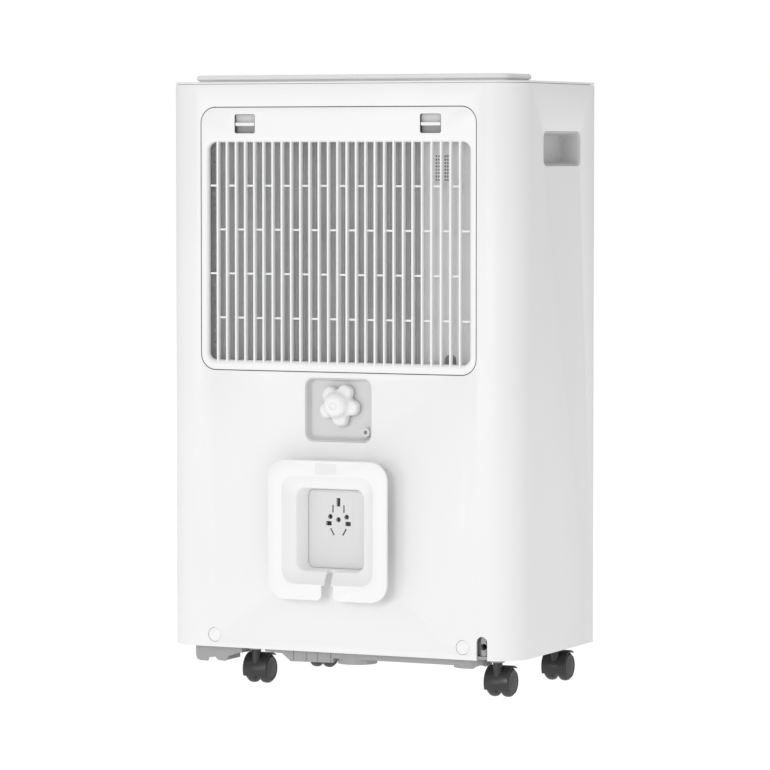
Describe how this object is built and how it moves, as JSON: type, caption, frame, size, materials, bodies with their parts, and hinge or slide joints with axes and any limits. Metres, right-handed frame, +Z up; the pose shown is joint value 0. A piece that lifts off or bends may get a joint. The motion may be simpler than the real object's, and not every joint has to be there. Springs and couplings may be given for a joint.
{
  "type": "portable dehumidifier",
  "caption": "Upright white portable dehumidifier on twin-wheel castors, with a slatted rear intake, a star-knob drain cap, a rear cord reel with plug park and a pull-out front tank.",
  "frame": {"origin": "on the floor, under the middle of the bounding box", "axes": "+Z up; +Y out of the rear face with the intake grille and the cord reel; -Y out of the front, where the tank pulls out; +X to the left of someone who looks at the rear face"},
  "size_m": [0.408, 0.264, 0.646],
  "materials": {
    "casing_white": "fine satin moulding",
    "light_grey_plastic": "fine matt moulding",
    "grey_plastic": "matt moulding",
    "black_plastic": "satin black moulding",
    "castor_wheel": "satin black nylon",
    "display_glass": "polished smoked cover",
    "clear_plastic": "clear, faint blue tint",
    "filter_net": "woven nylon net in a moulded frame",
    "aluminium_fins": "thin plain fins",
    "copper": "drawn copper tube",
    "pipe_insulation": "black closed-cell foam",
    "black_steel": "black paint",
    "galvanised_steel": "galvanised sheet",
    "seal_rubber": "matt",
    "float_foam": "expanded foam"
  },
  "bodies": {
    "root": {"rear_shell": "casing_white", "front_cover": "casing_white", "top_cover": "casing_white", "base_pan": "grey_plastic", "outlet_frame": "casing_white", "outlet_grille": "grey_plastic", "drain_pocket": "light_grey_plastic", "drain_nozzle": "grey_plastic", "cord_reel": "casing_white", "plug_park": "light_grey_plastic", "handle_cup_left": "casing_white", "handle_cup_right": "casing_white", "screw_cap_left": "casing_white", "screw_cap_right": "casing_white", "cord_gland": "grey_plastic", "evaporator_coil": "aluminium_fins", "condenser_coil": "aluminium_fins", "sensor_panel": "light_grey_plastic", "fan_scroll": "grey_plastic", "fan_motor": "galvanised_steel", "compressor": "black_steel", "discharge_pipe": "copper", "suction_pipe": "pipe_insulation", "capillary_tube": "copper", "drip_tray": "grey_plastic", "control_box": "light_grey_plastic", "tank_switch": "black_plastic", "bulkhead": "galvanised_steel", "control_panel": "casing_white", "display_window": "display_glass"},
    "intake_grille": {"intake_grille": "casing_white", "air_filter": "filter_net"},
    "latch_left": {"latch_left": "casing_white"},
    "latch_right": {"latch_right": "casing_white"},
    "louver": {"louver": "casing_white"},
    "drain_seal": {"drain_seal": "seal_rubber"},
    "drain_cap": {"drain_cap": "casing_white"},
    "fan_wheel": {"fan_wheel": "black_plastic"},
    "button_1": {"button_1": "casing_white"},
    "button_2": {"button_2": "casing_white"},
    "button_3": {"button_3": "casing_white"},
    "button_4": {"button_4": "casing_white"},
    "button_5": {"button_5": "casing_white"},
    "water_tank": {"water_tank": "clear_plastic", "tank_front": "casing_white", "tank_lid": "light_grey_plastic"},
    "tank_handle": {"tank_handle": "light_grey_plastic"},
    "tank_float": {"tank_float": "float_foam"},
    "castor_yoke_rear_left": {"castor_yoke_rear_left": "black_plastic"},
    "castor_wheel_rear_left_left": {"castor_wheel_rear_left_left": "castor_wheel"},
    "castor_wheel_rear_left_right": {"castor_wheel_rear_left_right": "castor_wheel"},
    "castor_yoke_front_left": {"castor_yoke_front_left": "black_plastic"},
    "castor_wheel_front_left_left": {"castor_wheel_front_left_left": "castor_wheel"},
    "castor_wheel_front_left_right": {"castor_wheel_front_left_right": "castor_wheel"},
    "castor_yoke_rear_right": {"castor_yoke_rear_right": "black_plastic"},
    "castor_wheel_rear_right_left": {"castor_wheel_rear_right_left": "castor_wheel"},
    "castor_wheel_rear_right_right": {"castor_wheel_rear_right_right": "castor_wheel"},
    "castor_yoke_front_right": {"castor_yoke_front_right": "black_plastic"},
    "castor_wheel_front_right_left": {"castor_wheel_front_right_left": "castor_wheel"},
    "castor_wheel_front_right_right": {"castor_wheel_front_right_right": "castor_wheel"}
  },
  "joints": [
    {"name": "grille_tilt", "type": "hinge", "parent": "root", "child": "intake_grille", "pos_m": [0, 0.1074, 0.3366], "axis": [-1, 0, 0], "range_deg": [0, 35]},
    {"name": "latch_left_slide", "type": "slide", "parent": "intake_grille", "child": "latch_left", "axis": [0, 0, -1], "range_m": [0, 0.004], "stiffness_N_per_m": 300, "springref_m": -0.003},
    {"name": "latch_right_slide", "type": "slide", "parent": "intake_grille", "child": "latch_right", "axis": [0, 0, -1], "range_m": [0, 0.004], "stiffness_N_per_m": 300, "springref_m": -0.003},
    {"name": "louver_tilt", "type": "hinge", "parent": "root", "child": "louver", "pos_m": [0, 0.0714, 0.6436], "axis": [-1, 0, 0], "range_deg": [0, 80]},
    {"name": "drain_cap_lift", "type": "slide", "parent": "root", "child": "drain_seal", "axis": [0, 1, 0], "range_m": [0, 0.0075]},
    {"name": "drain_cap_turn", "type": "hinge", "parent": "drain_seal", "child": "drain_cap", "pos_m": [-0.0017, 0.101, 0.3009], "axis": [0, 1, 0], "range_deg": [0, 1080]},
    {"name": "fan_spin", "type": "hinge", "parent": "root", "child": "fan_wheel", "pos_m": [0.026, -0.02, 0.47], "axis": [0, 1, 0], "continuous": true},
    {"name": "button_1_press", "type": "slide", "parent": "root", "child": "button_1", "axis": [0, 0, -1], "range_m": [0, 0.0012], "stiffness_N_per_m": 400, "springref_m": -0.001},
    {"name": "button_2_press", "type": "slide", "parent": "root", "child": "button_2", "axis": [0, 0, -1], "range_m": [0, 0.0012], "stiffness_N_per_m": 400, "springref_m": -0.001},
    {"name": "button_3_press", "type": "slide", "parent": "root", "child": "button_3", "axis": [0, 0, -1], "range_m": [0, 0.0012], "stiffness_N_per_m": 400, "springref_m": -0.001},
    {"name": "button_4_press", "type": "slide", "parent": "root", "child": "button_4", "axis": [0, 0, -1], "range_m": [0, 0.0012], "stiffness_N_per_m": 400, "springref_m": -0.001},
    {"name": "button_5_press", "type": "slide", "parent": "root", "child": "button_5", "axis": [0, 0, -1], "range_m": [0, 0.0012], "stiffness_N_per_m": 400, "springref_m": -0.001},
    {"name": "tank_slide", "type": "slide", "parent": "root", "child": "water_tank", "axis": [0, -1, 0], "range_m": [0, 0.15]},
    {"name": "tank_handle_fold", "type": "hinge", "parent": "water_tank", "child": "tank_handle", "pos_m": [0, -0.07, 0.238], "axis": [-1, 0, 0], "range_deg": [0, 58]},
    {"name": "float_rise", "type": "hinge", "parent": "water_tank", "child": "tank_float", "pos_m": [0.095, -0.108, 0.24], "axis": [1, 0, 0], "range_deg": [0, 15]},
    {"name": "castor_swivel_rear_left", "type": "hinge", "parent": "root", "child": "castor_yoke_rear_left", "pos_m": [0.105, 0.087, 0.0155], "axis": [0, 0, 1], "continuous": true},
    {"name": "wheel_roll_rear_left_left", "type": "hinge", "parent": "castor_yoke_rear_left", "child": "castor_wheel_rear_left_left", "pos_m": [0.105, 0.076, 0.0155], "axis": [1, 0, 0], "continuous": true},
    {"name": "wheel_roll_rear_left_right", "type": "hinge", "parent": "castor_yoke_rear_left", "child": "castor_wheel_rear_left_right", "pos_m": [0.105, 0.076, 0.0155], "axis": [1, 0, 0], "continuous": true},
    {"name": "castor_swivel_front_left", "type": "hinge", "parent": "root", "child": "castor_yoke_front_left", "pos_m": [0.105, -0.066, 0.0155], "axis": [0, 0, 1], "continuous": true},
    {"name": "wheel_roll_front_left_left", "type": "hinge", "parent": "castor_yoke_front_left", "child": "castor_wheel_front_left_left", "pos_m": [0.105, -0.077, 0.0155], "axis": [1, 0, 0], "continuous": true},
    {"name": "wheel_roll_front_left_right", "type": "hinge", "parent": "castor_yoke_front_left", "child": "castor_wheel_front_left_right", "pos_m": [0.105, -0.077, 0.0155], "axis": [1, 0, 0], "continuous": true},
    {"name": "castor_swivel_rear_right", "type": "hinge", "parent": "root", "child": "castor_yoke_rear_right", "pos_m": [-0.175, 0.087, 0.0155], "axis": [0, 0, 1], "continuous": true},
    {"name": "wheel_roll_rear_right_left", "type": "hinge", "parent": "castor_yoke_rear_right", "child": "castor_wheel_rear_right_left", "pos_m": [-0.175, 0.076, 0.0155], "axis": [1, 0, 0], "continuous": true},
    {"name": "wheel_roll_rear_right_right", "type": "hinge", "parent": "castor_yoke_rear_right", "child": "castor_wheel_rear_right_right", "pos_m": [-0.175, 0.076, 0.0155], "axis": [1, 0, 0], "continuous": true},
    {"name": "castor_swivel_front_right", "type": "hinge", "parent": "root", "child": "castor_yoke_front_right", "pos_m": [-0.175, -0.066, 0.0155], "axis": [0, 0, 1], "continuous": true},
    {"name": "wheel_roll_front_right_left", "type": "hinge", "parent": "castor_yoke_front_right", "child": "castor_wheel_front_right_left", "pos_m": [-0.175, -0.077, 0.0155], "axis": [1, 0, 0], "continuous": true},
    {"name": "wheel_roll_front_right_right", "type": "hinge", "parent": "castor_yoke_front_right", "child": "castor_wheel_front_right_right", "pos_m": [-0.175, -0.077, 0.0155], "axis": [1, 0, 0], "continuous": true}
  ],
  "couplings": [
    {"joint": "drain_cap_lift", "follows": "drain_cap_turn", "m_per_rad": 0.00039788}
  ]
}
